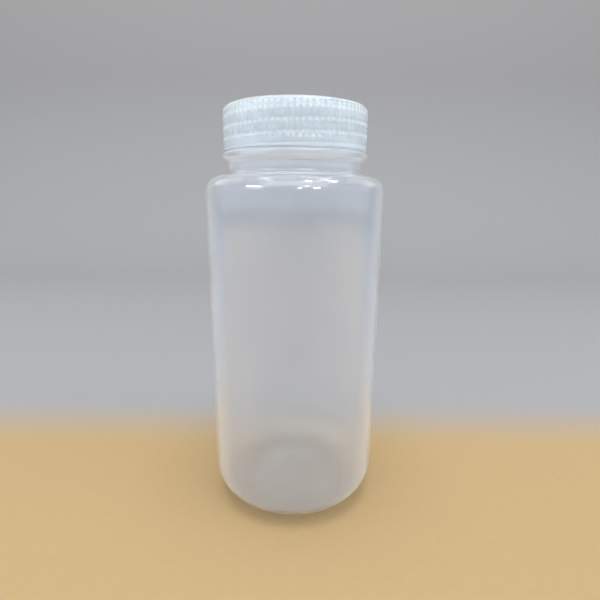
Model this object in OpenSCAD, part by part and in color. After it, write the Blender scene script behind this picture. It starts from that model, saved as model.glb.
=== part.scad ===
// Wide-mouth reagent bottle of translucent plastic, with a ribbed screw cap and a sealing disc.
// Sizes are in millimetres. The origin is the centre of the standing ring, with +Z up.

/* [Body] */
// Outside diameter of the straight body
body_d = 75; // [66:0.5:100]
// Height of the neck's foot above the surface that the bottle stands on
body_h = 146; // [80:1:220]
// Wall of the body and the shoulder
wall = 1.3; // [0.8:0.1:2]
// Outside radius of the heel, between the base and the side
heel_r = 14; // [8:0.5:18]
// Outside radius of the shoulder
shoulder_r = 6.5; // [4:0.5:8]
// Fall of the shoulder from the neck outwards, in degrees
shoulder_slope = 12; // [2:1:20]

/* [Base] */
// Rise of the hollow under the base
push_up = 3; // [1:0.25:5]
// Width of the flat ring that the bottle stands on
stand_w = 3; // [1.5:0.25:5]
// Wall of the base
base_wall = 1.8; // [1:0.1:3]

/* [Neck] */
// Outside diameter of the finish that the cap goes over, at the root of its thread
finish_d = 51.6; // [36:0.2:54]
// Height of the finish, from the bead to the rim
finish_h = 13.8; // [9:0.1:20]
// Wall of the finish
finish_wall = 2.2; // [1.6:0.1:3]
// Radius on the inner and outer edges of the rim
lip_r = 0.7; // [0.2:0.1:0.8]
// How far the plain neck stands out from the finish
neck_step = 1.85; // [0.5:0.05:2.5]
// Length of the plain neck, from its foot to the bead
neck_len = 4; // [2.5:0.1:10]
// Radius at the foot of the neck
neck_fillet = 1.2; // [0.4:0.1:2]
// How far the bead stands out past the cap
bead_proud = 0.5; // [0:0.05:2]
// Height of the bead
bead_h = 3.9; // [3:0.1:6]
// Height of the upright edge of the bead
bead_edge = 1.5; // [1:0.1:2]
// Radius on the upper edge of the bead
bead_r = 0.8; // [0.2:0.1:1]

/* [Cap] */
// Room for the thread, between the finish and the inside of the skirt
thread_room = 1.7; // [1.2:0.05:2.5]
// Wall of the skirt between the ribs
skirt_wall = 1.6; // [1:0.05:2.5]
// Thickness of the top
cap_top = 1.8; // [1.2:0.1:3]
// Radius around the outer edge of the top
cap_edge_r = 1.6; // [0.6:0.1:2]
// Radius in the corner inside the top
cap_corner_r = 0.5; // [0.2:0.05:0.6]
// How much narrower the cap is at the top than at the skirt's edge, on the radius
cap_draft = 0.15; // [0:0.05:0.4]
// Gap between the skirt's edge and the bead
bead_gap = 0.6; // [0.3:0.05:2]
// Bevel inside the skirt's edge
lead_in = 0.6; // [0.2:0.05:0.9]
// Number of ribs around the cap
rib_count = 82; // [40:1:120]
// Depth of the grooves between the ribs
rib_depth = 0.25; // [0.15:0.05:0.8]
// Width of a rib at its tip
rib_tip_w = 0.8; // [0.4:0.05:1]
// Width of a rib at its root
rib_root_w = 1.3; // [0.8:0.05:1.5]
// Height of the plain band under the ribs
plain_band = 2.5; // [1:0.1:5]
// Diameter of the moulding mark in the middle of the top
gate_d = 5; // [3:0.5:10]
// Depth of the moulding mark
gate_depth = 0.4; // [0.2:0.1:0.8]

/* [Sealing disc] */
// Thickness of the disc
seal_t = 1.4; // [0.8:0.1:3]
// Free play above the disc, and below it
seal_play = 0.1; // [0.05:0.05:0.3]
// Gap between the disc's edge and the skirt
seal_side_gap = 0.4; // [0.3:0.05:1]
// Bevel on the disc's edges
seal_bevel = 0.3; // [0.1:0.05:0.4]

/* [Hidden] */
$fn = 96;
OVER = 1;

body_r = body_d / 2;
heel_c = [body_r - heel_r, heel_r];
stand_in_r = heel_c.x - stand_w;
push_up_r = (stand_in_r ^ 2 + push_up ^ 2) / (2 * push_up);

finish_r = finish_d / 2;
bore_r = finish_r - finish_wall;
neck_r = finish_r + neck_step;
neck_in_r = neck_r - finish_wall;
skirt_in_r = finish_r + thread_room;
rib_root_r = skirt_in_r + skirt_wall;
cap_r = rib_root_r + rib_depth;
bead_out_r = cap_r + bead_proud;

// The shoulder's arc is placed so that its slope meets the neck at the height body_h
shoulder_c_x = body_r - shoulder_r;
shoulder_c = [shoulder_c_x,
              body_h - (shoulder_c_x - neck_r) * tan(shoulder_slope) - shoulder_r / cos(shoulder_slope)];

bead_z = body_h + neck_len;
bead_top_z = bead_z + bead_h;
rim_z = bead_top_z + finish_h;
seal_z = rim_z + seal_play;
cap_under_z = seal_z + seal_t + seal_play;
cap_top_z = cap_under_z + cap_top;
skirt_z = bead_top_z + bead_gap;

// Height of the shoulder's slope at radius r, set in from the outside by inset
function slope_z(r, inset) =
    shoulder_c.y + (shoulder_r - inset) / cos(shoulder_slope) + (shoulder_c.x - r) * tan(shoulder_slope);

// Half section of base, body and shoulder, filled to the axis, set in from the outside by inset
module vessel_section(inset, floor_z) {
    heel = heel_r - inset;
    shoulder = shoulder_r - inset;
    edge = shoulder_c + shoulder * [sin(shoulder_slope), cos(shoulder_slope)];
    translate([0, floor_z])
        square([heel_c.x, heel_c.y - floor_z]);
    translate(heel_c)
        circle(heel);
    translate([0, heel_c.y])
        square([body_r - inset, shoulder_c.y - heel_c.y]);
    translate(shoulder_c)
        circle(shoulder);
    polygon([[0, shoulder_c.y], shoulder_c, edge, [0, slope_z(0, inset)]]);
}

// Half section of the hollow that is pushed up under the base
module push_up_section(rise) {
    intersection() {
        translate([0, rise - push_up_r])
            circle(push_up_r);
        translate([0, -OVER])
            square([body_r, push_up_r]);
    }
}

// Fills the corner between the shoulder's slope and an upright wall at radius r
module neck_root_section(r, fillet, inset) {
    corner = [r, slope_z(r, inset)];
    centre = [r + fillet, slope_z(r + fillet, inset) + fillet / cos(shoulder_slope)];
    foot = centre - fillet * [sin(shoulder_slope), cos(shoulder_slope)];
    difference() {
        polygon([corner, foot, centre, [r, centre.y]]);
        translate(centre)
            circle(fillet);
    }
}

// Half section of the bead that the cap stops above
module bead_section() {
    polygon([[0, bead_z], [neck_r, bead_z], [bead_out_r, bead_top_z - bead_r - bead_edge],
             [bead_out_r, bead_top_z - bead_r], [0, bead_top_z - bead_r]]);
    translate([0, bead_top_z - bead_r])
        square([bead_out_r - bead_r, bead_r]);
    translate([bead_out_r - bead_r, bead_top_z - bead_r])
        circle(bead_r);
}

// Half section of the bottle's outside, filled to the axis
module bottle_outside() {
    difference() {
        vessel_section(0, 0);
        push_up_section(push_up);
    }
    translate([0, shoulder_c.y])
        square([neck_r, bead_z - shoulder_c.y]);
    neck_root_section(neck_r, neck_fillet, 0);
    bead_section();
    translate([0, bead_z])
        square([finish_r, rim_z - lip_r - bead_z]);
    translate([0, bead_z])
        square([finish_r - lip_r, rim_z - bead_z]);
    translate([finish_r - lip_r, rim_z - lip_r])
        circle(lip_r);
}

// Half section of the space inside the bottle
module bottle_inside() {
    widening = neck_in_r - bore_r;
    difference() {
        vessel_section(wall, base_wall);
        push_up_section(push_up + base_wall);
    }
    neck_root_section(neck_in_r, neck_fillet + wall, wall);
    polygon([[0, shoulder_c.y], [neck_in_r, shoulder_c.y], [neck_in_r, bead_z],
             [bore_r, bead_z + widening], [bore_r, rim_z + OVER], [0, rim_z + OVER]]);
    difference() {
        translate([bore_r - OVER, rim_z - lip_r])
            square([lip_r + OVER, lip_r + OVER]);
        translate([bore_r + lip_r, rim_z - lip_r])
            circle(lip_r);
    }
}

// Plan of the ribbed skirt: rib tips at cap_r, groove floors at rib_root_r
module rib_plan() {
    step = 360 / rib_count;
    tip = asin(rib_tip_w / 2 / cap_r);
    root = asin(rib_root_w / 2 / rib_root_r);
    rib = [[-root, rib_root_r], [-tip, cap_r], [tip, cap_r], [root, rib_root_r]];
    polygon([for (i = [0 : rib_count - 1], corner = rib)
        corner[1] * [cos(i * step + corner[0]), sin(i * step + corner[0])]]);
}

// Half section of the cap's outside, filled to the axis
module cap_outside() {
    edge = [cap_r - cap_draft - cap_edge_r, cap_top_z - cap_edge_r];
    polygon([[0, skirt_z], [cap_r, skirt_z], edge + [cap_edge_r, 0], [0, edge.y]]);
    translate([0, edge.y])
        square([edge.x, cap_edge_r]);
    translate(edge)
        circle(cap_edge_r);
}

// Half section of the space inside the cap
module cap_inside() {
    corner = [skirt_in_r - cap_corner_r, cap_under_z - cap_corner_r];
    polygon([[0, skirt_z - OVER], [skirt_in_r + lead_in + OVER, skirt_z - OVER],
             [skirt_in_r, skirt_z + lead_in], [skirt_in_r, corner.y], [0, corner.y]]);
    translate([0, corner.y])
        square([corner.x, cap_corner_r]);
    translate(corner)
        circle(cap_corner_r);
}

// Blow-moulded shell: hollow base, body, shoulder, neck, bead and finish
module bottle() {
    color("#c3c8cb", 0.6)
        rotate_extrude()
            difference() {
                bottle_outside();
                bottle_inside();
            }
}

// Screw cap with ribs all round, over a plain band at the skirt's edge
module cap() {
    color("#cad8e1", 0.7)
        difference() {
            intersection() {
                rotate_extrude()
                    cap_outside();
                union() {
                    translate([0, 0, skirt_z])
                        cylinder(r = cap_r, h = plain_band);
                    translate([0, 0, skirt_z + plain_band])
                        linear_extrude(cap_top_z - skirt_z - plain_band)
                            rib_plan();
                }
            }
            rotate_extrude()
                cap_inside();
            translate([0, 0, cap_top_z - gate_depth])
                cylinder(d = gate_d, h = gate_depth + OVER);
        }
}

// Loose disc that the cap presses onto the rim
module seal_disc() {
    r = skirt_in_r - seal_side_gap;
    color("#dfe6ea", 0.85)
        translate([0, 0, seal_z])
            rotate_extrude()
                polygon([[0, 0], [r - seal_bevel, 0], [r, seal_bevel], [r, seal_t - seal_bevel],
                         [r - seal_bevel, seal_t], [0, seal_t]]);
}

bottle();
cap();
seal_disc();
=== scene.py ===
"""Looks of a wide-mouth reagent bottle: a blow-moulded shell with a threaded neck, a ribbed screw cap
and the sealing disc between them. Lengths are in metres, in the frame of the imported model."""

import math
from collections import namedtuple

import bpy
from mathutils import Matrix, Vector


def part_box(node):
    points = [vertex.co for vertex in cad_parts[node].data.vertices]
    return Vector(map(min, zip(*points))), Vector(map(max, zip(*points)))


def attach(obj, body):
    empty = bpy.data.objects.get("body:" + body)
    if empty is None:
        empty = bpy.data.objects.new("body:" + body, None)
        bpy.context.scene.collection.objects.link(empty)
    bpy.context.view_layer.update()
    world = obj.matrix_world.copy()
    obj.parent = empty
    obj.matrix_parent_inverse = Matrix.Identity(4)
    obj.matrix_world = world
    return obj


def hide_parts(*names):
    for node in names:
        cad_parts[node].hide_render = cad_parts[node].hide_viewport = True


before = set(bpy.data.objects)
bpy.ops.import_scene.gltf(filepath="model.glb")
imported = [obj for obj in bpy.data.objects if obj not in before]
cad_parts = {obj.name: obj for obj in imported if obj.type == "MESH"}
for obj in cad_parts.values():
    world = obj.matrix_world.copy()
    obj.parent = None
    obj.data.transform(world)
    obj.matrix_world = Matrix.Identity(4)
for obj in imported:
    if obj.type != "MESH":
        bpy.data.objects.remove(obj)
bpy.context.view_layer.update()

MM = 0.001


def round_radius(node):
    """Radius of a turned CAD node that fits inside its box on all four sides."""
    low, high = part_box(node)
    return min(high.x, high.y, -low.x, -low.y)


# Places taken from the frame
BODY_R = round_radius("bottle")
RIM_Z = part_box("bottle")[1].z
CAP_R = round_radius("cap")
SKIRT_Z, CAP_TOP_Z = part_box("cap")[0].z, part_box("cap")[1].z
DISC_R = round_radius("seal_disc")
DISC_LOW_Z, DISC_HIGH_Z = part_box("seal_disc")[0].z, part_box("seal_disc")[1].z

# Bottle
WALL = 1.3 * MM
BASE_WALL = 1.8 * MM
HEEL_R = 14 * MM
STAND_W = 3 * MM
PUSH_UP = 3 * MM
SHOULDER_R = 6.5 * MM
SHOULDER_SLOPE = math.radians(12)
NECK_FOOT_Z = 146 * MM
NECK_R = 27.65 * MM
NECK_FILLET = 1.2 * MM
NECK_WALL = 2.2 * MM
BEAD_Z = 150 * MM
BEAD_CONE_Z = 151.6 * MM
BEAD_TOP_Z = 153.9 * MM
BEAD_R = 29.85 * MM
BEAD_FILLET = 0.8 * MM
BEAD_ROOT_R = 1.2 * MM
FINISH_R = 25.8 * MM
BORE_R = FINISH_R - NECK_WALL
LIP_R = 0.7 * MM
SOFT_EDGE = 0.4 * MM

# Cap
CAP_TOP = 1.8 * MM
CAP_EDGE_R = 1.6 * MM
CAP_DRAFT = 0.15 * MM
CAP_CORNER_R = 0.5 * MM
SKIRT_IN_R = 27.5 * MM
LEAD_IN = 0.6 * MM
GATE_R = 2.5 * MM
GATE_DEPTH = 0.4 * MM
RIB_COUNT = 82
RIB_DEPTH = 0.25 * MM
PLAIN_BAND = 2.5 * MM
RIB_FOOT_Z = SKIRT_Z + PLAIN_BAND
RIB_RUN_OUT = 2 * MM
# Shares of the way from the middle of a rib to the middle of the groove beside it
RIB_TIP = 0.1
RIB_FLANK = 0.8
CRISP_EDGE = 0.2 * MM

# Sealing disc
DISC_EDGE_R = 0.3 * MM

# Screw thread, right-handed, with the cap's thread half a pitch from the bottle's. Its ends and run-out are
# in turns, counted from where it crosses the +X side at the height given.
PITCH = 4.2 * MM
THREAD_HEIGHT = 1.15 * MM
THREAD_CREST = 0.9 * MM
THREAD_FLANK = 0.6 * MM
THREAD_RUN_OUT = 0.1
THREAD_Z = 158.15 * MM
THREAD_FIRST, THREAD_LAST = -0.5, 1.9
CAP_THREAD_Z = THREAD_Z + PITCH / 2
CAP_THREAD_FIRST, CAP_THREAD_LAST = -0.85, 1.5

# Fineness of the meshes
ARC_ERROR = 0.006 * MM
BODY_STEP = 6 * MM
SKIRT_STEP = 2 * MM
RUN_OUT_STEP = RIB_RUN_OUT / 6
THREAD_STEP = 0.22 * MM
BOTTLE_SIDES = 288
POINTS_PER_RIB = 10
SAME_POINT = 0.001 * MM
SAME_WALL = 0.005 * MM

# Plastics. From a clearness of about 0.89 the renderer's denoiser takes a wall for a window, and a line
# shows where the wall reaches that, so the bottle stays just below.
POLYPROPYLENE_IOR = 1.49
POLYETHYLENE_IOR = 1.51
SKIN_ROUGHNESS = 0.06
EVEN_SPREAD = (1.0, 1.0, 1.0)
BOTTLE_CLEAR, BOTTLE_CLEAR_ASLANT = 0.885, 0.87
CAP_CLEAR, CAP_CLEAR_ASLANT = 0.74, 0.56
NECK_BLEND = 3 * MM
RIM_GLOW = 6 * MM

# Patterns in the surfaces. Grain and fibre are finer on the real things, and are as coarse here as they need
# to be to show.
WALL_WAVE = 32 * MM
ORANGE_PEEL = 1.1 * MM
MELT_FLOW = 9 * MM
MOULD_GRAIN = 0.7 * MM
SHEET_MOTTLE = 2.5 * MM
PAPER_FIBRE = 3 * MM

# Paper sweep, with the places behind the bottle where its floor colour ends and its backdrop colour begins
PAPER_WARM_Y, PAPER_COOL_Y = 0.02, 0.08
SWEEP_HALF = 3.0
SWEEP_BACK = 0.5
SWEEP_BEND = 0.4
SWEEP_TOP = 2.5
SWEEP_STEPS = 16

# Lamps, and the rays that don't see them where they only light, only shine on a skin, or shine through too
LIGHT_TARGET = Vector((0, 0, 0.12))
ONLY_LIGHTS = ("camera", "glossy", "transmission")
ONLY_SHINES = ("camera", "diffuse", "transmission")
SHINES_THROUGH = ("camera", "diffuse")

# Camera, fitted to the bottle's outline in an image of 600 by 600 pixels
IMAGE = 600
FOCAL_PIXELS = 420
SENSOR = 36
CAMERA_PLACE = Vector((2.5, -185, 138.9)) * MM
CAMERA_DOWN = math.radians(14.49)
CAMERA_ROLL = math.radians(0.497)
CAMERA_NEAR = 0.01

Corner = namedtuple("Corner", "r z fillet step", defaults=(0, 0))


def add(tree, kind, inputs=None, **settings):
    """Adds a node with its settings. An input takes a value, a socket or a node's first output."""
    node = tree.nodes.new(kind)
    for name, value in settings.items():
        setattr(node, name, value)
    for key, value in (inputs or {}).items():
        if isinstance(value, bpy.types.Node):
            value = value.outputs[0]
        if isinstance(value, bpy.types.NodeSocket):
            tree.links.new(value, node.inputs[key])
        else:
            node.inputs[key].default_value = value
    return node


# Outlines

def round_off(before, corner, after, radius):
    """Points of the arc that rounds a corner."""
    back, on = (before - corner).normalized(), (after - corner).normalized()
    half = back.angle(on) / 2
    centre = corner + (back + on).normalized() * radius / math.sin(half)
    start = corner + back * radius / math.tan(half) - centre
    first = math.atan2(start.y, start.x)
    turn = math.copysign(math.pi - 2 * half, on.cross(back))
    facet = 2 * math.acos(1 - ARC_ERROR / radius)
    count = max(2, math.ceil(abs(turn) / facet))
    angles = [first + turn * i / count for i in range(count + 1)]
    return [centre + radius * Vector((math.cos(a), math.sin(a))) for a in angles]


def outline(corners):
    """Half section from corners: the material lies to the left of the line that they make."""
    points = []
    for i, corner in enumerate(corners):
        here = Vector((corner.r, corner.z))
        arc = [here]
        if corner.fillet:
            before, after = (Vector(corners[i + side][:2]) for side in (-1, 1))
            arc = round_off(before, here, after, corner.fillet)
        if corner.step:
            start = points[-1]
            count = math.ceil((arc[0] - start).length / corner.step)
            points += [start.lerp(arc[0], k / count) for k in range(1, count)]
        points += arc
    return points


def shoulder_z(r, inset=0):
    """Height of the shoulder's slope at a radius, set in from the outside."""
    return NECK_FOOT_Z - (r - NECK_R) * math.tan(SHOULDER_SLOPE) - inset / math.cos(SHOULDER_SLOPE)


def bottle_outline():
    """From the middle of the hollow under the base, up the outside, over the rim and down the inside."""
    stand_in_r = BODY_R - HEEL_R - STAND_W
    dome_r = (stand_in_r ** 2 + PUSH_UP ** 2) / (2 * PUSH_UP)
    dome_angle = math.asin(stand_in_r / dome_r)
    dome_corner_r = dome_r * math.tan(dome_angle / 2)
    dome_foot_r = stand_in_r + (BASE_WALL - WALL) / math.tan(dome_angle)
    inside_r, neck_in_r = BODY_R - WALL, NECK_R - NECK_WALL
    widening = neck_in_r - BORE_R
    return outline([
        Corner(0, PUSH_UP),
        Corner(dome_corner_r, PUSH_UP, dome_r),
        Corner(stand_in_r, 0),
        Corner(BODY_R, 0, HEEL_R),
        Corner(BODY_R, shoulder_z(BODY_R), SHOULDER_R, BODY_STEP),
        Corner(NECK_R, NECK_FOOT_Z, NECK_FILLET),
        Corner(NECK_R, BEAD_Z, BEAD_ROOT_R),
        Corner(BEAD_R, BEAD_CONE_Z, SOFT_EDGE),
        Corner(BEAD_R, BEAD_TOP_Z, BEAD_FILLET),
        Corner(FINISH_R, BEAD_TOP_Z, SOFT_EDGE),
        Corner(FINISH_R, RIM_Z, LIP_R, THREAD_STEP),
        Corner(BORE_R, RIM_Z, LIP_R),
        Corner(BORE_R, BEAD_Z + widening, SOFT_EDGE),
        Corner(neck_in_r, BEAD_Z, SOFT_EDGE),
        Corner(neck_in_r, shoulder_z(neck_in_r, WALL), NECK_FILLET + WALL),
        Corner(inside_r, shoulder_z(inside_r, WALL), SHOULDER_R - WALL),
        Corner(inside_r, WALL, HEEL_R - WALL, BODY_STEP),
        Corner(dome_foot_r, WALL, HEEL_R - WALL),
        Corner(dome_corner_r, PUSH_UP + BASE_WALL, dome_r),
        Corner(0, PUSH_UP + BASE_WALL),
    ])


def cap_outline():
    """From the middle of the underside, down the skirt's inside, and up its outside to the mark on top."""
    under_z = CAP_TOP_Z - CAP_TOP
    return outline([
        Corner(0, under_z),
        Corner(SKIRT_IN_R, under_z, CAP_CORNER_R),
        Corner(SKIRT_IN_R, SKIRT_Z + LEAD_IN, CRISP_EDGE, THREAD_STEP),
        Corner(SKIRT_IN_R + LEAD_IN, SKIRT_Z, CRISP_EDGE),
        Corner(CAP_R, SKIRT_Z, SOFT_EDGE),
        Corner(CAP_R, RIB_FOOT_Z),
        Corner(CAP_R, RIB_FOOT_Z + RIB_RUN_OUT, 0, RUN_OUT_STEP),
        Corner(CAP_R - CAP_DRAFT, CAP_TOP_Z, CAP_EDGE_R, SKIRT_STEP),
        Corner(GATE_R, CAP_TOP_Z, CRISP_EDGE),
        Corner(GATE_R, CAP_TOP_Z - GATE_DEPTH, CRISP_EDGE / 2),
        Corner(0, CAP_TOP_Z - GATE_DEPTH),
    ])


def disc_outline():
    """A flat disc with rounded edges."""
    return outline([
        Corner(0, DISC_LOW_Z),
        Corner(DISC_R, DISC_LOW_Z, DISC_EDGE_R),
        Corner(DISC_R, DISC_HIGH_Z, DISC_EDGE_R),
        Corner(0, DISC_HIGH_Z),
    ])


# Node trees for the shapes

def turns_round(tree, place):
    """How far round the Z axis a place lies, in turns from the +X side."""
    angle = add(tree, "ShaderNodeMath", {0: place.outputs[1], 1: place.outputs[0]}, operation="ARCTAN2")
    return add(tree, "ShaderNodeMath", {0: angle, 1: math.tau}, operation="DIVIDE")


def above_helix(tree, height, turn, start, pitch):
    """How many pitches a place lies above a right-hand helix that crosses the +X side at the start."""
    climb = add(tree, "ShaderNodeMath", {0: height, 1: start}, operation="SUBTRACT")
    climb = add(tree, "ShaderNodeMath", {0: climb, 1: pitch}, operation="DIVIDE")
    return add(tree, "ShaderNodeMath", {0: climb, 1: turn}, operation="SUBTRACT")


def round_the_axis(tree):
    """Where a mesh's points lie: height, radius from the Z axis, the way outwards and turns round it."""
    position = add(tree, "GeometryNodeInputPosition")
    place = add(tree, "ShaderNodeSeparateXYZ", {0: position})
    flat = add(tree, "ShaderNodeVectorMath", {0: position, 1: (1, 1, 0)}, operation="MULTIPLY")
    radius = add(tree, "ShaderNodeVectorMath", {0: flat}, operation="LENGTH").outputs["Value"]
    outward = add(tree, "ShaderNodeVectorMath", {0: flat}, operation="NORMALIZE")
    return place.outputs[2], radius, outward, turns_round(tree, place)


def new_tree(name, sizes):
    """A geometry tree with named inputs. Returns it with its inputs as sockets by name."""
    tree = bpy.data.node_groups.new(name, "GeometryNodeTree")
    kinds = {"Geometry": "NodeSocketGeometry", "Material": "NodeSocketMaterial"}
    for label in ("Geometry", *sizes, "Material"):
        tree.interface.new_socket(label, in_out="INPUT", socket_type=kinds.get(label, "NodeSocketFloat"))
    tree.interface.new_socket("Geometry", in_out="OUTPUT", socket_type="NodeSocketGeometry")
    given = add(tree, "NodeGroupInput").outputs
    return tree, given


def end_tree(tree, geometry, material):
    """Ends a tree with smooth faces, no instances and one material."""
    smooth = add(tree, "GeometryNodeSetShadeSmooth", {"Geometry": geometry})
    real = add(tree, "GeometryNodeRealizeInstances", {"Geometry": smooth})
    painted = add(tree, "GeometryNodeSetMaterial", {"Geometry": real, "Material": material})
    add(tree, "NodeGroupOutput", {"Geometry": painted})


def turning_tree():
    """Turns an outline in the XZ plane round the Z axis into a closed shell."""
    tree, given = new_tree("Turned shell", ["Sides"])
    count = add(tree, "GeometryNodeAttributeDomainSize", {"Geometry": given["Geometry"]})
    columns = add(tree, "ShaderNodeMath", {0: given["Sides"], 1: 1.0}, operation="ADD")
    grid = add(tree, "GeometryNodeMeshGrid", {"Vertices X": count, "Vertices Y": columns})
    place = add(tree, "ShaderNodeSeparateXYZ", {0: add(tree, "GeometryNodeInputPosition")})
    last = add(tree, "ShaderNodeMath", {0: count, 1: 1.0}, operation="SUBTRACT")
    along = add(tree, "ShaderNodeMath", {0: place.outputs[0], 1: 0.5}, operation="ADD")
    row = add(tree, "ShaderNodeMath", {0: along, 1: last}, operation="MULTIPLY")
    row = add(tree, "ShaderNodeMath", {0: row}, operation="ROUND")
    point = add(
        tree, "GeometryNodeSampleIndex",
        {"Geometry": given["Geometry"], "Value": add(tree, "GeometryNodeInputPosition"), "Index": row},
        data_type="FLOAT_VECTOR", domain="POINT",
    )
    # Turned clockwise, so that the faces look out of the material
    angle = add(tree, "ShaderNodeMath", {0: place.outputs[1], 1: -math.tau}, operation="MULTIPLY")
    turned = add(
        tree, "ShaderNodeVectorRotate",
        {"Vector": point, "Angle": angle}, rotation_type="Z_AXIS",
    )
    shell = add(tree, "GeometryNodeSetPosition", {"Geometry": grid, "Position": turned})
    closed = add(tree, "GeometryNodeMergeByDistance", {"Geometry": shell, "Distance": SAME_POINT})
    end_tree(tree, closed, given["Material"])
    return tree


def thread_tree():
    """Raises a screw thread on the wall that lies at the root radius. A negative height goes inwards."""
    tree, given = new_tree(
        "Screw thread",
        [
            "Root radius", "Height", "Pitch", "Start height", "First turn", "Last turn", "Run-out",
            "Crest", "Flank",
        ],
    )
    height, radius, outward, turn = round_the_axis(tree)
    # Which turn of the helix is nearest, and how far above or below it the point lies
    lead = above_helix(tree, height, turn, given["Start height"], given["Pitch"])
    nearest = add(tree, "ShaderNodeMath", {0: lead}, operation="ROUND")
    off = add(tree, "ShaderNodeMath", {0: lead, 1: nearest}, operation="SUBTRACT")
    off = add(tree, "ShaderNodeMath", {0: off, 1: given["Pitch"]}, operation="MULTIPLY")
    off = add(tree, "ShaderNodeMath", {0: off}, operation="ABSOLUTE")
    along = add(tree, "ShaderNodeMath", {0: turn, 1: nearest}, operation="ADD")
    # The thread's own section, and its run-out at both ends
    edge = add(tree, "ShaderNodeMath", {0: given["Crest"], 1: 0.5}, operation="MULTIPLY")
    foot = add(tree, "ShaderNodeMath", {0: edge, 1: given["Flank"]}, operation="ADD")
    section = add(
        tree, "ShaderNodeMapRange",
        {"Value": off, "From Min": foot, "From Max": edge}, interpolation_type="SMOOTHSTEP",
    )
    first, last, run_out = given["First turn"], given["Last turn"], given["Run-out"]
    begun = add(tree, "ShaderNodeMath", {0: first, 1: run_out}, operation="ADD")
    ending = add(tree, "ShaderNodeMath", {0: last, 1: run_out}, operation="SUBTRACT")
    rise = add(
        tree, "ShaderNodeMapRange",
        {"Value": along, "From Min": first, "From Max": begun}, interpolation_type="SMOOTHSTEP",
    )
    fall = add(
        tree, "ShaderNodeMapRange",
        {"Value": along, "From Min": last, "From Max": ending}, interpolation_type="SMOOTHSTEP",
    )
    share = add(tree, "ShaderNodeMath", {0: rise, 1: fall}, operation="MULTIPLY")
    share = add(tree, "ShaderNodeMath", {0: share, 1: section}, operation="MULTIPLY")
    raised = add(tree, "ShaderNodeMath", {0: share, 1: given["Height"]}, operation="MULTIPLY")
    offset = add(tree, "ShaderNodeVectorMath", {0: outward, "Scale": raised}, operation="SCALE")
    on_wall = add(
        tree, "FunctionNodeCompare",
        {"A": radius, "B": given["Root radius"], "Epsilon": SAME_WALL}, operation="EQUAL",
    )
    threaded = add(
        tree, "GeometryNodeSetPosition",
        {"Geometry": given["Geometry"], "Selection": on_wall, "Offset": offset},
    )
    end_tree(tree, threaded, given["Material"])
    return tree


def rib_tree():
    """Cuts upright grooves into the outside of a round skirt, which leaves ribs between them."""
    tree, given = new_tree(
        "Grip ribs",
        ["Count", "Tip radius", "Depth", "Tip share", "Flank share", "Foot height", "Run-out"],
    )
    height, radius, outward, turn = round_the_axis(tree)
    # Distance from the middle of the nearest rib, 0 on its tip and 1 in the middle of the groove
    rib = add(tree, "ShaderNodeMath", {0: turn, 1: given["Count"]}, operation="MULTIPLY")
    aside = add(tree, "ShaderNodeMath", {0: rib, 1: 0.5}, operation="PINGPONG")
    aside = add(tree, "ShaderNodeMath", {0: aside, 1: 2.0}, operation="MULTIPLY")
    tip, foot = given["Tip share"], given["Foot height"]
    groove_edge = add(tree, "ShaderNodeMath", {0: tip, 1: given["Flank share"]}, operation="ADD")
    groove = add(
        tree, "ShaderNodeMapRange",
        {"Value": aside, "From Min": tip, "From Max": groove_edge}, interpolation_type="SMOOTHSTEP",
    )
    full = add(tree, "ShaderNodeMath", {0: foot, 1: given["Run-out"]}, operation="ADD")
    started = add(
        tree, "ShaderNodeMapRange",
        {"Value": height, "From Min": foot, "From Max": full}, interpolation_type="SMOOTHSTEP",
    )
    depth = add(tree, "ShaderNodeMath", {0: groove, 1: started}, operation="MULTIPLY")
    depth = add(tree, "ShaderNodeMath", {0: depth, 1: given["Depth"]}, operation="MULTIPLY")
    limit = add(tree, "ShaderNodeMath", {0: given["Tip radius"], 1: depth}, operation="SUBTRACT")
    kept = add(tree, "ShaderNodeMath", {0: radius, 1: limit}, operation="MINIMUM")
    inward = add(tree, "ShaderNodeMath", {0: kept, 1: radius}, operation="SUBTRACT")
    offset = add(tree, "ShaderNodeVectorMath", {0: outward, "Scale": inward}, operation="SCALE")
    ribbed = add(tree, "GeometryNodeSetPosition", {"Geometry": given["Geometry"], "Offset": offset})
    end_tree(tree, ribbed, given["Material"])
    return tree


# Materials

def colour(hex_code):
    """An sRGB hex colour as linear RGBA."""
    values = [int(hex_code[i:i + 2], 16) / 255 for i in (1, 3, 5)]
    return (*[v / 12.92 if v <= 0.04045 else ((v + 0.055) / 1.055) ** 2.4 for v in values], 1.0)


def new_material(name):
    """An empty material. Returns it with its tree and the coordinates that its patterns read."""
    material = bpy.data.materials.new(name)
    material.use_nodes = True
    tree = material.node_tree
    tree.nodes.clear()
    return material, tree, add(tree, "ShaderNodeTexCoord").outputs["Object"]


def end_material(tree, inputs):
    """Ends a material's tree with its shader."""
    shader = add(tree, "ShaderNodeBsdfPrincipled", inputs)
    add(tree, "ShaderNodeOutputMaterial", {"Surface": shader})


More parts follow.
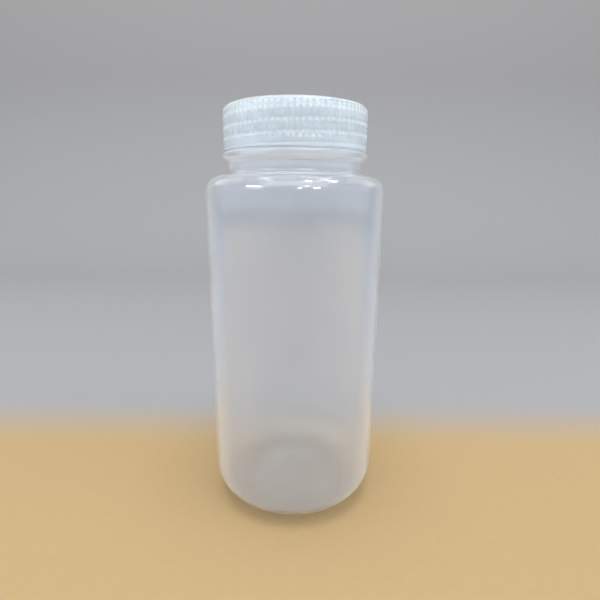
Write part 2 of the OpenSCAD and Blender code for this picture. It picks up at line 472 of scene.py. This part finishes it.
def natural_polypropylene():
    """Blow-moulded natural polypropylene: milky and waxy, so that light spreads in the wall, with a satin
    skin that is a little wavy because only the outside touched the mould."""
    material, tree, place = new_material("Natural polypropylene, blow-moulded")
    waves = add(tree, "ShaderNodeTexNoise", {"Vector": place, "Scale": 1 / WALL_WAVE, "Detail": 0.0})
    peel = add(tree, "ShaderNodeTexNoise", {"Vector": place, "Scale": 1 / ORANGE_PEEL, "Detail": 2.0})
    tint = add(
        tree, "ShaderNodeMix",
        {"Factor": waves, 6: colour("#e8eef8"), 7: colour("#eff3fa")}, data_type="RGBA",
    )
    satin = add(tree, "ShaderNodeMapRange", {"Value": peel, "To Min": 0.06, "To Max": 0.09})
    wavy = add(tree, "ShaderNodeBump", {"Height": waves, "Strength": 0.1, "Distance": 0.06 * MM})
    skin = add(
        tree, "ShaderNodeBump",
        {"Height": peel, "Strength": 0.1, "Distance": 0.004 * MM, "Normal": wavy},
    )
    # Clear in the middle of the body, and milky where the view slants through more of the wall
    facing = add(tree, "ShaderNodeLayerWeight", {"Blend": 0.5}).outputs["Facing"]
    clear = add(
        tree, "ShaderNodeMapRange",
        {"Value": facing, "From Max": 0.5, "To Min": BOTTLE_CLEAR, "To Max": BOTTLE_CLEAR_ASLANT},
    )
    slant = add(
        tree, "ShaderNodeMapRange",
        {"Value": facing, "From Min": 0.45, "From Max": 0.9, "To Min": 1.0, "To Max": 0.7},
        interpolation_type="SMOOTHSTEP",
    )
    # The neck's wall is thicker, and so milkier. Faces that look down, as under the bead, are milkier still,
    # which lightens them: partly the bead's whole depth that the view goes through there, partly painted
    # light that lifts the shade under the bead
    height = add(tree, "ShaderNodeSeparateXYZ", {0: place}).outputs[2]
    on_neck = add(
        tree, "ShaderNodeMapRange",
        {"Value": height, "From Min": NECK_FOOT_Z, "From Max": NECK_FOOT_Z + NECK_BLEND},
        interpolation_type="SMOOTHSTEP",
    )
    outward = add(tree, "ShaderNodeSeparateXYZ", {0: add(tree, "ShaderNodeTexCoord").outputs["Normal"]})
    neck_and_underside_lift = add(
        tree, "ShaderNodeMapRange",
        {"Value": outward.outputs[2], "From Min": -0.1, "From Max": -0.7, "To Min": 0.87, "To Max": 0.6},
    )
    neck_and_underside_lift = add(tree, "ShaderNodeMath", {0: neck_and_underside_lift, 1: slant}, operation="MULTIPLY")
    share = add(tree, "ShaderNodeMix", {0: on_neck, 2: slant, 3: neck_and_underside_lift})
    clear = add(tree, "ShaderNodeMath", {0: clear, 1: share}, operation="MULTIPLY")
    spread = add(tree, "ShaderNodeMapRange", {"Value": on_neck, "To Min": 2 * MM, "To Max": 6 * MM})
    end_material(tree, {
        "Base Color": tint.outputs[2], "Roughness": satin, "Normal": skin, "IOR": POLYPROPYLENE_IOR,
        "Transmission Weight": clear,
        "Subsurface Weight": 1.0, "Subsurface Radius": EVEN_SPREAD, "Subsurface Scale": spread,
        "Coat Weight": 1.0, "Coat Roughness": SKIN_ROUGHNESS, "Coat IOR": POLYPROPYLENE_IOR,
    })
    return material


def cap_polypropylene():
    """Injection-moulded polypropylene with a trace of blue: milkier than the bottle, under a glossy skin,
    so that the threads and the rim show through it only as soft bands. The bands carry painted highlights,
    and the upper skirt painted light."""
    material, tree, place = new_material("Blue-white polypropylene, injection-moulded")
    flow = add(tree, "ShaderNodeTexNoise", {"Vector": place, "Scale": 1 / MELT_FLOW, "Detail": 2.0})
    grain = add(tree, "ShaderNodeTexNoise", {"Vector": place, "Scale": 1 / MOULD_GRAIN, "Detail": 2.0})
    tint = add(
        tree, "ShaderNodeMix",
        {"Factor": flow, 6: colour("#e1edfa"), 7: colour("#eaf3fc")}, data_type="RGBA",
    )
    gloss = add(tree, "ShaderNodeMapRange", {"Value": grain, "To Min": 0.22, "To Max": 0.25})
    skin = add(tree, "ShaderNodeBump", {"Height": grain, "Strength": 0.1, "Distance": 0.004 * MM})
    facing = add(tree, "ShaderNodeLayerWeight", {"Blend": 0.35}).outputs["Facing"]
    clear = add(
        tree, "ShaderNodeMapRange",
        {"Value": facing, "To Min": CAP_CLEAR, "To Max": CAP_CLEAR_ASLANT},
    )
    # The wall is thicker, and so milkier, in a band that follows the thread inside; the band is also a
    # painted highlight, a bright line along the thread
    spot = add(tree, "ShaderNodeSeparateXYZ", {0: place})
    height, turn = spot.outputs[2], turns_round(tree, spot)
    lead = above_helix(tree, height, turn, CAP_THREAD_Z, PITCH)
    aside = add(tree, "ShaderNodeMath", {0: lead, 1: 0.5}, operation="PINGPONG")
    band = add(
        tree, "ShaderNodeMapRange",
        {"Value": aside, "From Min": 0.22, "From Max": 0.06}, interpolation_type="SMOOTHSTEP",
    )
    on_skirt = add(
        tree, "ShaderNodeMapRange",
        {"Value": height, "From Min": DISC_HIGH_Z, "From Max": DISC_LOW_Z},
    )
    band = add(tree, "ShaderNodeMath", {0: band, 1: on_skirt}, operation="MULTIPLY")
    # So it is in the corner under the top, partly the thicker corner and partly a painted highlight, a
    # bright row under the top
    corner = add(tree, "ShaderNodeMath", {0: height, 1: CAP_TOP_Z - CAP_TOP}, operation="SUBTRACT")
    corner = add(tree, "ShaderNodeMath", {0: corner}, operation="ABSOLUTE")
    corner_ring_and_highlight = add(
        tree, "ShaderNodeMapRange",
        {"Value": corner, "From Min": 0.7 * MM, "From Max": 0.2 * MM}, interpolation_type="SMOOTHSTEP",
    )
    band = add(tree, "ShaderNodeMath", {0: band, 1: corner_ring_and_highlight}, operation="MAXIMUM")
    # Painted highlights: each rib is drawn as a lens that gathers the band behind it into a bright spot, the
    # more so the higher up
    rib = add(tree, "ShaderNodeMath", {0: turn, 1: RIB_COUNT}, operation="MULTIPLY")
    off_rib = add(tree, "ShaderNodeMath", {0: rib, 1: 0.5}, operation="PINGPONG")
    painted_highlight_spots = add(
        tree, "ShaderNodeMapRange",
        {"Value": off_rib, "From Min": 0.4, "From Max": 0.1, "To Min": 0.2},
        interpolation_type="SMOOTHSTEP",
    )
    focus = add(
        tree, "ShaderNodeMapRange",
        {"Value": height, "From Min": RIB_FOOT_Z, "From Max": RIM_Z},
    )
    painted_highlight_spots = add(tree, "ShaderNodeMix", {0: focus, 2: 0.6, 3: painted_highlight_spots})
    band = add(tree, "ShaderNodeMath", {0: band, 1: painted_highlight_spots}, operation="MULTIPLY")
    through = add(tree, "ShaderNodeMapRange", {"Value": band, "To Min": 1.0, "To Max": 0.4})
    clear = add(tree, "ShaderNodeMath", {0: clear, 1: through}, operation="MULTIPLY")
    # Rim and sealing disc lie close behind the wall and whiten it, and the upper skirt is made lighter with
    # painted light, as if light came in through the top
    above = add(
        tree, "ShaderNodeMapRange",
        {"Value": height, "From Min": RIM_Z - RIM_GLOW, "From Max": RIM_Z},
        interpolation_type="SMOOTHSTEP",
    )
    below = add(
        tree, "ShaderNodeMapRange",
        {"Value": height, "From Min": CAP_TOP_Z, "From Max": DISC_HIGH_Z},
    )
    backed = add(tree, "ShaderNodeMath", {0: above, 1: below}, operation="MULTIPLY")
    rim_and_top_light_whitening = add(tree, "ShaderNodeMapRange", {"Value": backed, "To Min": 1.0, "To Max": 0.93})
    clear = add(tree, "ShaderNodeMath", {0: clear, 1: rim_and_top_light_whitening}, operation="MULTIPLY")
    end_material(tree, {
        "Base Color": tint.outputs[2], "Roughness": gloss, "Normal": skin, "IOR": POLYPROPYLENE_IOR,
        "Transmission Weight": clear,
        "Subsurface Weight": 1.0, "Subsurface Radius": EVEN_SPREAD, "Subsurface Scale": 1 * MM,
        "Coat Weight": 1.0, "Coat Roughness": SKIN_ROUGHNESS, "Coat IOR": POLYPROPYLENE_IOR,
    })
    return material


def seal_polyethylene():
    """Polyethylene die-cut from sheet: milky and smooth, with the dull gloss of a rolled skin."""
    material, tree, place = new_material("Milky polyethylene, die-cut sheet")
    mottle = add(tree, "ShaderNodeTexNoise", {"Vector": place, "Scale": 1 / SHEET_MOTTLE, "Detail": 2.0})
    tint = add(
        tree, "ShaderNodeMix",
        {"Factor": mottle, 6: colour("#eef1f2"), 7: colour("#e3e8ea")}, data_type="RGBA",
    )
    matt = add(tree, "ShaderNodeMapRange", {"Value": mottle, "To Min": 0.5, "To Max": 0.62})
    skin = add(tree, "ShaderNodeBump", {"Height": mottle, "Strength": 0.1, "Distance": 0.02 * MM})
    end_material(tree, {
        "Base Color": tint.outputs[2], "Roughness": matt, "Normal": skin, "IOR": POLYETHYLENE_IOR,
        "Subsurface Weight": 0.6, "Subsurface Radius": EVEN_SPREAD, "Subsurface Scale": 1.5 * MM,
    })
    return material


def studio_paper():
    """Graduated studio paper: plain and matt with a trace of fibre, warm on the floor and grey behind."""
    material, tree, place = new_material("Graduated studio paper, matt")
    depth = add(tree, "ShaderNodeSeparateXYZ", {0: place}).outputs[1]
    change = add(
        tree, "ShaderNodeMapRange",
        {"Value": depth, "From Min": PAPER_WARM_Y, "From Max": PAPER_COOL_Y},
        interpolation_type="SMOOTHSTEP",
    )
    shade = add(
        tree, "ShaderNodeMix",
        {"Factor": change, 6: colour("#a28a64"), 7: colour("#8b8b8c")}, data_type="RGBA",
    )
    fibre = add(tree, "ShaderNodeTexNoise", {"Vector": place, "Scale": 1 / PAPER_FIBRE, "Detail": 3.0})
    tint = add(
        tree, "ShaderNodeMix",
        {"Factor": 0.06, 6: shade.outputs[2], 7: fibre}, data_type="RGBA", blend_type="SOFT_LIGHT",
    )
    end_material(tree, {"Base Color": tint.outputs[2], "Roughness": 0.9, "Specular IOR Level": 0.2})
    return material


# Pieces

def apply_tree(piece, tree, values):
    """Adds a geometry tree to a piece, and sets the inputs that the values name by their identifiers."""
    modifier = piece.modifiers.new(tree.name, "NODES")
    modifier.node_group = tree
    for item in tree.interface.items_tree:
        if item.in_out == "INPUT" and item.name in values:
            modifier[item.identifier] = values[item.name]


def make_piece(name, points, steps):
    """A plain mesh made by turning an outline and running the other trees on it."""
    line = bpy.data.meshes.new(name)
    line.from_pydata([(p.x, 0, p.y) for p in points], [(i, i + 1) for i in range(len(points) - 1)], [])
    piece = bpy.data.objects.new(name, line)
    bpy.context.scene.collection.objects.link(piece)
    for tree, values in steps:
        apply_tree(piece, tree, values)
    graph = bpy.context.evaluated_depsgraph_get()
    mesh = bpy.data.meshes.new_from_object(piece.evaluated_get(graph), depsgraph=graph)
    mesh.name = name
    piece.modifiers.clear()
    piece.data = mesh
    bpy.data.meshes.remove(line)
    return piece


def stand_for(piece, node, body):
    """The piece takes the place of a CAD node, on its body."""
    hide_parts(node)
    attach(piece, body)


def build_pieces():
    """Shell, cap and disc, each in place of its CAD node."""
    turning, threading, ribbing = turning_tree(), thread_tree(), rib_tree()
    shell_plastic, cap_plastic = natural_polypropylene(), cap_polypropylene()
    disc_plastic = seal_polyethylene()
    thread = {"Pitch": PITCH, "Crest": THREAD_CREST, "Flank": THREAD_FLANK, "Run-out": THREAD_RUN_OUT}
    shell = make_piece("bottle_shell", bottle_outline(), [
        (turning, {"Sides": BOTTLE_SIDES, "Material": shell_plastic}),
        (threading, thread | {
            "Root radius": FINISH_R, "Height": THREAD_HEIGHT, "Start height": THREAD_Z,
            "First turn": THREAD_FIRST, "Last turn": THREAD_LAST, "Material": shell_plastic,
        }),
    ])
    stand_for(shell, "bottle", "bottle")
    cap = make_piece("screw_cap", cap_outline(), [
        (turning, {"Sides": RIB_COUNT * POINTS_PER_RIB, "Material": cap_plastic}),
        (threading, thread | {
            "Root radius": SKIRT_IN_R, "Height": -THREAD_HEIGHT, "Start height": CAP_THREAD_Z,
            "First turn": CAP_THREAD_FIRST, "Last turn": CAP_THREAD_LAST, "Material": cap_plastic,
        }),
        (ribbing, {
            "Count": RIB_COUNT, "Tip radius": CAP_R, "Depth": RIB_DEPTH,
            "Tip share": RIB_TIP, "Flank share": RIB_FLANK,
            "Foot height": RIB_FOOT_Z, "Run-out": RIB_RUN_OUT, "Material": cap_plastic,
        }),
    ])
    stand_for(cap, "cap", "cap")
    disc = make_piece("sealing_disc", disc_outline(), [
        (turning, {"Sides": BOTTLE_SIDES, "Material": disc_plastic}),
    ])
    stand_for(disc, "seal_disc", "seal_disc")
    return shell, cap, disc


# Stage, light and camera

def build_stage():
    """A pale paper sweep: floor, bend and wall."""
    quarter = [math.pi / 2 * i / SWEEP_STEPS for i in range(1, SWEEP_STEPS + 1)]
    section = [(-SWEEP_HALF, 0.0), (SWEEP_BACK, 0.0)]
    section += [
        (SWEEP_BACK + SWEEP_BEND * math.sin(a), SWEEP_BEND - SWEEP_BEND * math.cos(a)) for a in quarter
    ]
    section.append((SWEEP_BACK + SWEEP_BEND, SWEEP_TOP))
    points = [(x, y, z) for y, z in section for x in (-SWEEP_HALF, SWEEP_HALF)]
    faces = [(2 * i, 2 * i + 1, 2 * i + 3, 2 * i + 2) for i in range(len(section) - 1)]
    mesh = bpy.data.meshes.new("paper_sweep")
    mesh.from_pydata(points, [], faces)
    mesh.materials.append(studio_paper())
    mesh.shade_smooth()
    sweep = bpy.data.objects.new("paper_sweep", mesh)
    bpy.context.scene.collection.objects.link(sweep)


def hang(lamp, place, target, hidden_from):
    """Hangs a lamp at a place, facing a target and out of sight of some rays."""
    hung = bpy.data.objects.new(lamp.name, lamp)
    hung.location = place
    hung.rotation_euler = (target - hung.location).to_track_quat("-Z", "Y").to_euler()
    for ray in hidden_from:
        setattr(hung, f"visible_{ray}", False)
    bpy.context.scene.collection.objects.link(hung)
    return hung


def add_softbox(name, place, size, radiance, hidden_from):
    """A rectangular area light that faces the bottle."""
    lamp = bpy.data.lights.new(name, "AREA")
    lamp.shape = "RECTANGLE"
    lamp.size, lamp.size_y = size
    lamp.energy = math.pi * size[0] * size[1] * radiance
    return hang(lamp, place, LIGHT_TARGET, hidden_from)


def add_neck_beam(pieces):
    """A weak, narrow beam from low in front, on the pieces only, that lifts the underside of the bead."""
    lamp = bpy.data.lights.new("neck_beam", "SPOT")
    lamp.energy = 18
    lamp.spot_size = math.radians(5)
    lamp.spot_blend = 1.0
    lamp.shadow_soft_size = 0.05
    lamp.use_shadow = False
    beam = hang(lamp, (0.0, -1.0, -0.6), Vector((0, -NECK_R, BEAD_Z)), ("glossy", "transmission"))
    lit = bpy.data.collections.new("lit_by_neck_beam")
    for piece in pieces:
        lit.objects.link(piece)
    beam.light_linking.receiver_collection = lit


def build_light():
    """A soft room: a softbox overhead, a fill at each side, and lamps that only show as highlights."""
    scene = bpy.context.scene
    world = bpy.data.worlds.new("soft_room")
    world.use_nodes = True
    sky = world.node_tree.nodes["Background"]
    sky.inputs["Color"].default_value = colour("#e2eaf5")
    sky.inputs["Strength"].default_value = 0.7
    scene.world = world
    add_softbox("ceiling_softbox", (0.0, -0.1, 1.5), (0.9, 0.9), 6.3, ONLY_LIGHTS)
    # The fill has no shadow, as light that has passed through milky plastic has none
    for name, x in (("left_fill", -1.25), ("right_fill", 1.25)):
        fill = add_softbox(name, (x, -0.45, 0.95), (0.9, 0.9), 6.8, ONLY_LIGHTS)
        fill.data.use_shadow = False
    # Name, place, size and radiance of the broad, dim sheens on shoulder, cap and sides
    glows = [
        ("top_glow", (0.0, -0.1, 1.5), (1.2, 0.9), 3.0),
        ("front_glow", (0.0, -0.9, 1.25), (2.0, 0.8), 1.8),
        ("left_glow", (-1.1, 0.55, 1.0), (0.6, 0.9), 1.2),
        ("right_glow", (1.1, 0.55, 1.0), (0.6, 0.9), 1.2),
    ]
    for glow in glows:
        add_softbox(*glow, ONLY_SHINES)
    # The same for the small, bright highlights on the shoulder
    strips = [
        ("left_strip", (-1.13, -0.83, 0.97), (0.62, 0.12), 14),
        ("left_low_strip", (-1.2, -0.95, 0.7), (0.5, 0.06), 10),
        ("top_strip", (0.25, -0.36, 1.38), (0.12, 0.25), 16),
        ("right_strip", (0.66, -0.14, 1.26), (0.12, 0.25), 16),
        ("front_strip", (0.37, -1.2, 1.1), (0.2, 0.1), 12),
        ("front_far_strip", (0.17, -1.43, 0.82), (0.14, 0.3), 10),
        ("right_far_strip", (0.67, -1.27, 0.82), (0.25, 0.2), 12),
    ]
    for strip in strips:
        add_softbox(*strip, SHINES_THROUGH)
    scene.view_settings.view_transform = "Standard"


def build_camera():
    """The camera of the fitted view."""
    lens = bpy.data.cameras.new("camera")
    lens.sensor_width = SENSOR
    lens.lens = SENSOR * FOCAL_PIXELS / IMAGE
    lens.clip_start = CAMERA_NEAR
    camera = bpy.data.objects.new("camera", lens)
    tilt = Matrix.Rotation(math.pi / 2 - CAMERA_DOWN, 4, "X") @ Matrix.Rotation(CAMERA_ROLL, 4, "Z")
    camera.matrix_world = Matrix.Translation(CAMERA_PLACE) @ tilt
    bpy.context.scene.collection.objects.link(camera)
    bpy.context.scene.camera = camera


shell, cap, disc = build_pieces()
build_stage()
build_light()
add_neck_beam([shell, cap, disc])
build_camera()
